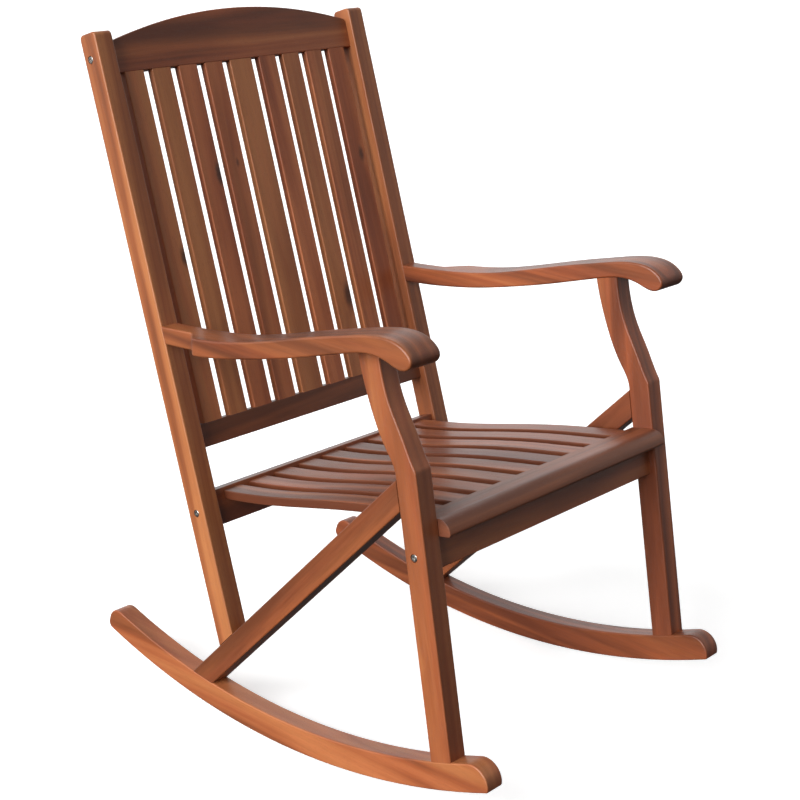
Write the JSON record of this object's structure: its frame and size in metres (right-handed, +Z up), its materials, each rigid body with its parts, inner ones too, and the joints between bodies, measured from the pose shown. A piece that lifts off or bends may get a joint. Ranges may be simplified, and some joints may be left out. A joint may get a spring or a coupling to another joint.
{
  "type": "rocking chair",
  "caption": "Slatted wooden rocking chair with waved flat armrests, a tall leaning back under an arched crest rail, and angled side braces on curved rockers.",
  "frame": {"origin": "centre of the chair's bounding box at floor level, under the middle of the seat; the chair stands at its natural balance on its rockers", "axes": "+X to the sitter's left, +Y towards the back of the chair, +Z up"},
  "size_m": [0.674, 0.9188, 1.1378],
  "materials": {
    "frame_wood": "oiled hardwood, satin",
    "back_slat_wood": "oiled hardwood, satin",
    "seat_wood": "oiled hardwood, satin",
    "dowel_wood": "bare beech",
    "steel_fastener": "zinc plated"
  },
  "bodies": {
    "root": {"apron_bolts": "steel_fastener", "arm_screws": "steel_fastener", "armrest_left": "frame_wood", "armrest_right": "frame_wood", "back_slat_1": "back_slat_wood", "back_slat_2": "back_slat_wood", "back_slat_3": "back_slat_wood", "back_slat_4": "back_slat_wood", "back_slat_5": "back_slat_wood", "back_slat_6": "back_slat_wood", "back_slat_7": "back_slat_wood", "back_slat_8": "back_slat_wood", "back_slat_9": "back_slat_wood", "board_dowels": "dowel_wood", "crest_bolts": "steel_fastener", "crest_rail": "frame_wood", "frame_dowels": "dowel_wood", "front_apron": "frame_wood", "front_leg_left": "frame_wood", "front_leg_right": "frame_wood", "lower_back_rail": "frame_wood", "rear_post_left": "frame_wood", "rear_post_right": "frame_wood", "rear_seat_rail": "frame_wood", "rocker_left": "frame_wood", "rocker_right": "frame_wood", "seat_front_board": "seat_wood", "seat_rail_bolts": "steel_fastener", "seat_slat_1": "seat_wood", "seat_slat_2": "seat_wood", "seat_slat_3": "seat_wood", "seat_slat_4": "seat_wood", "seat_slat_5": "seat_wood", "seat_slat_6": "seat_wood", "seat_slat_7": "seat_wood", "seat_slat_8": "seat_wood", "seat_slat_9": "seat_wood", "side_brace_left": "frame_wood", "side_brace_right": "frame_wood"}
  },
  "joints": []
}
